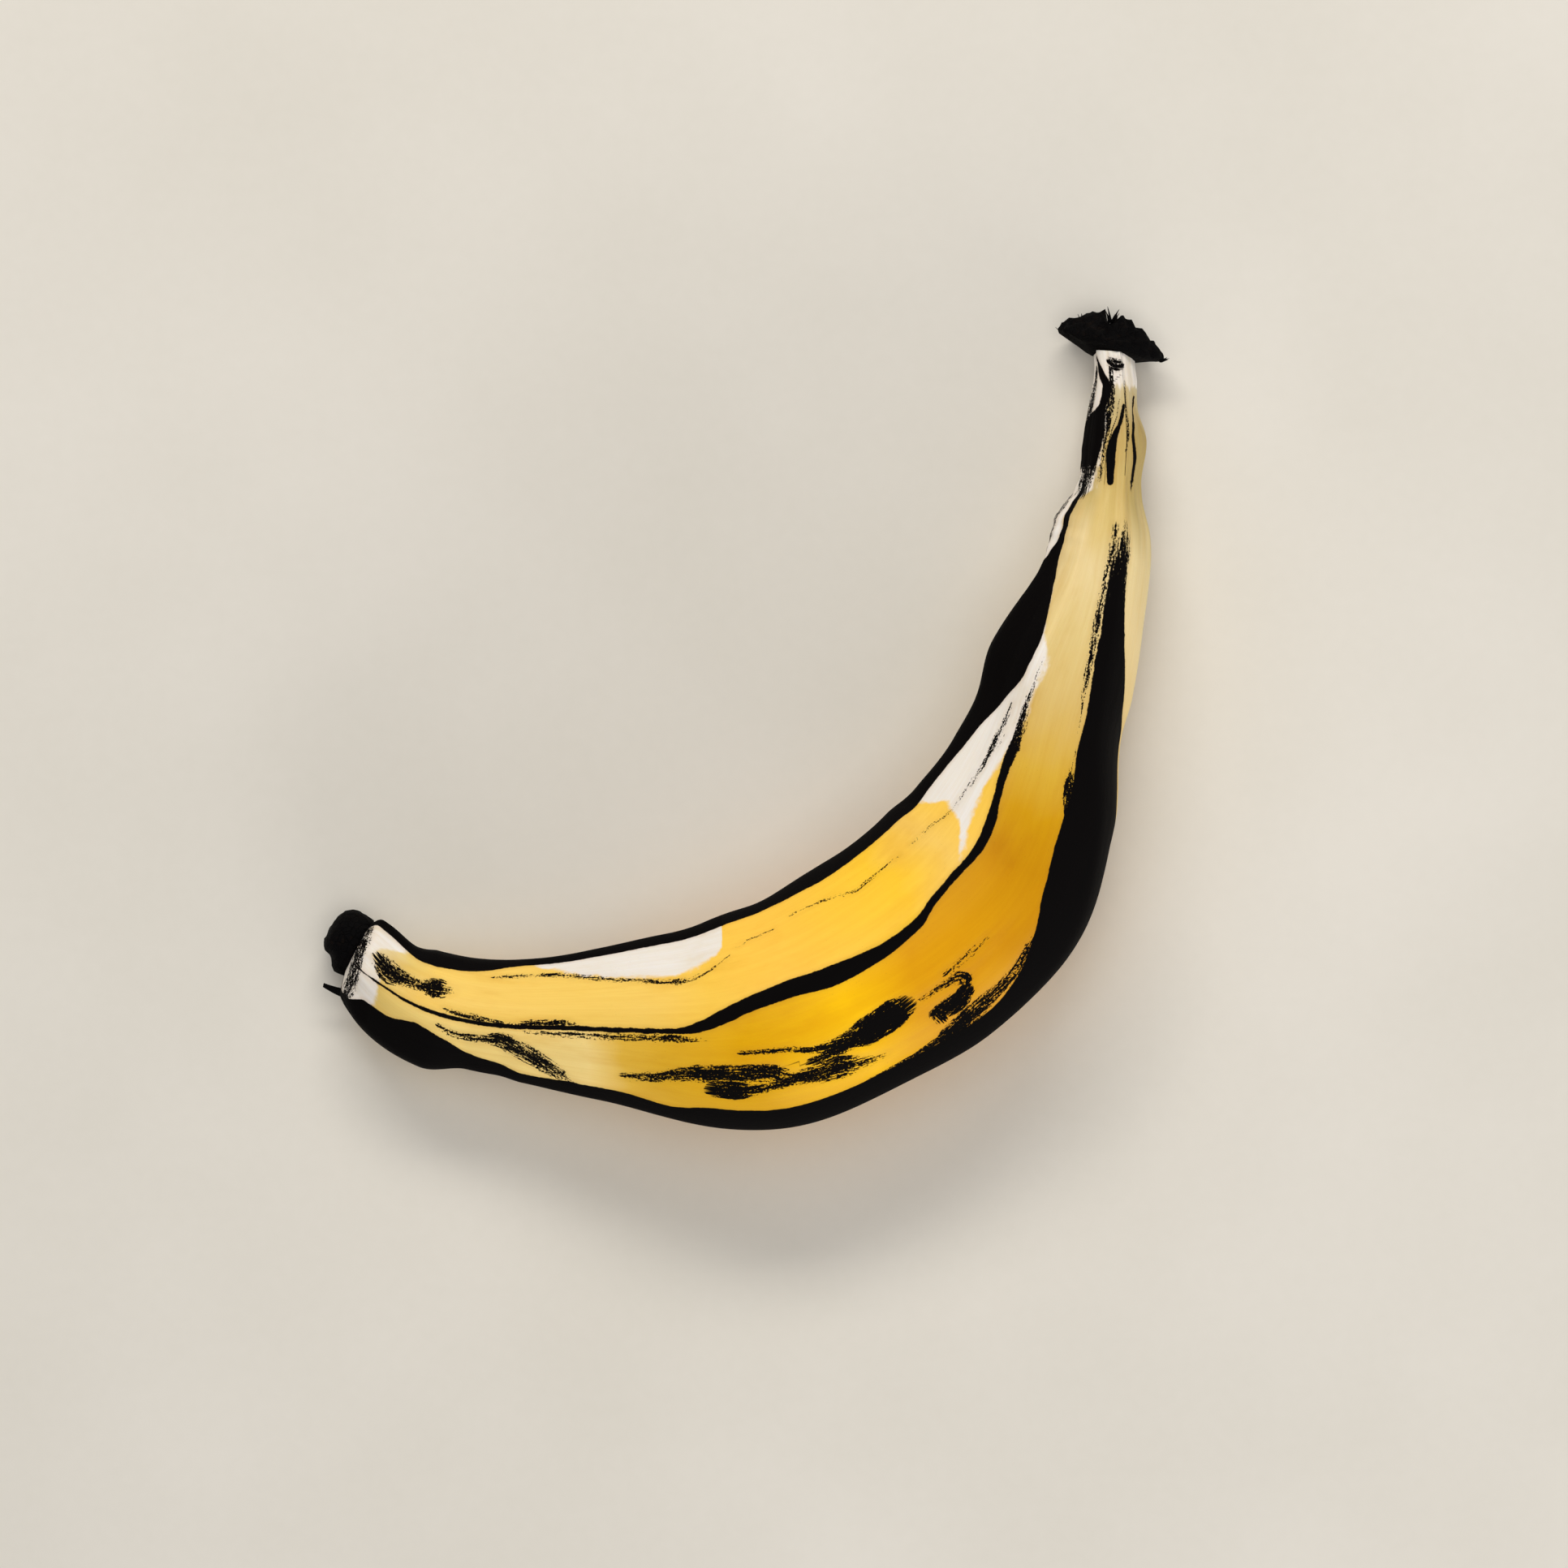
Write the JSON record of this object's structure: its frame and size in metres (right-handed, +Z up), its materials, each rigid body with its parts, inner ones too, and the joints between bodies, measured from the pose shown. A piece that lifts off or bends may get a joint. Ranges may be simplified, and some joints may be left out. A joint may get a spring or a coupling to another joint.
{
  "type": "banana",
  "caption": "Curved ripe banana with a ridged yellow skin, dark bruises, a dried blossom end and a torn stem crown, lying on its side.",
  "frame": {"origin": "the middle of the fruit's footprint box, on the surface that it lies on", "axes": "+Z up from the surface; the fruit lies on its side, with its blossom end towards -X and its stem and crown towards +Y, so that it bends round from -X to +Y"},
  "size_m": [0.135, 0.1302, 0.0347],
  "materials": {
    "banana_skin": "satin"
  },
  "bodies": {
    "root": {"banana": "banana_skin"}
  },
  "joints": []
}
